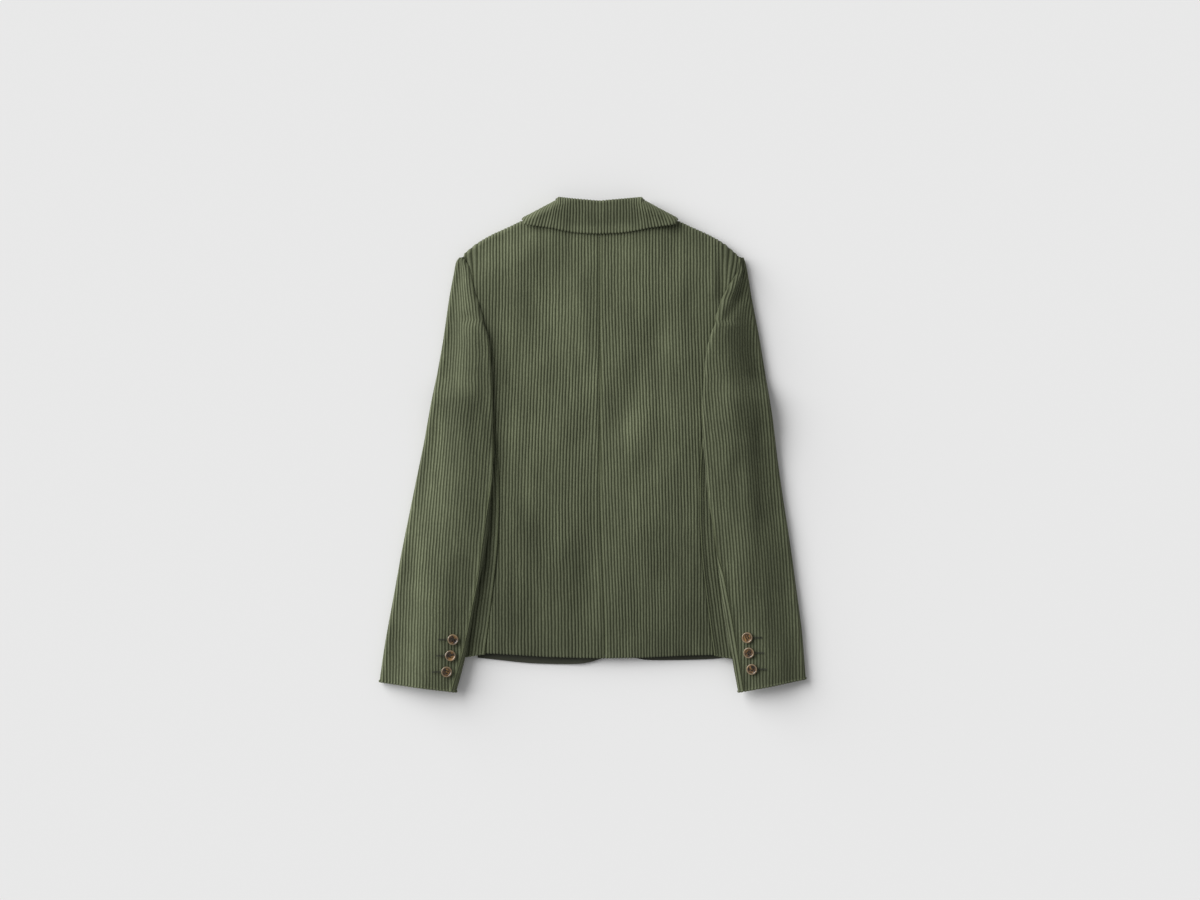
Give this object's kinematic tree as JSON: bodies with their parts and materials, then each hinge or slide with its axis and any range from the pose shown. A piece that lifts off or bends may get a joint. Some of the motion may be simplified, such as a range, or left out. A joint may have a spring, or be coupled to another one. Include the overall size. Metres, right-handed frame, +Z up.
{
  "type": "corduroy jacket",
  "caption": "Wide-wale corduroy blazer laid flat with its back up: centre back seam, side panels, turned-down collar, two-piece sleeves over the sides, buttons at the cuffs.",
  "frame": {"origin": "middle of the footprint, on the surface that the jacket lies on", "axes": "+Z up from the surface, +Y from the hem to the collar, +X to the side that lies right in the picture"},
  "size_m": [0.5961, 0.6863, 0.035],
  "materials": {
    "corduroy": "cut-pile cotton corduroy, olive green, soft sheen on the wales",
    "corduroy_inside": "plain dark inside of the fronts",
    "button": "mottled horn-look resin with a paler rim"
  },
  "bodies": {
    "root": {"back_left": "corduroy", "back_right": "corduroy", "side_left": "corduroy", "side_right": "corduroy", "front_left": "corduroy_inside", "front_right": "corduroy_inside", "top_sleeve_left": "corduroy", "top_sleeve_right": "corduroy", "under_sleeve_left": "corduroy", "under_sleeve_right": "corduroy", "collar_fall": "corduroy", "collar_stand": "corduroy", "button_left_1": "button", "button_left_2": "button", "button_left_3": "button", "button_right_1": "button", "button_right_2": "button", "button_right_3": "button"}
  },
  "joints": []
}
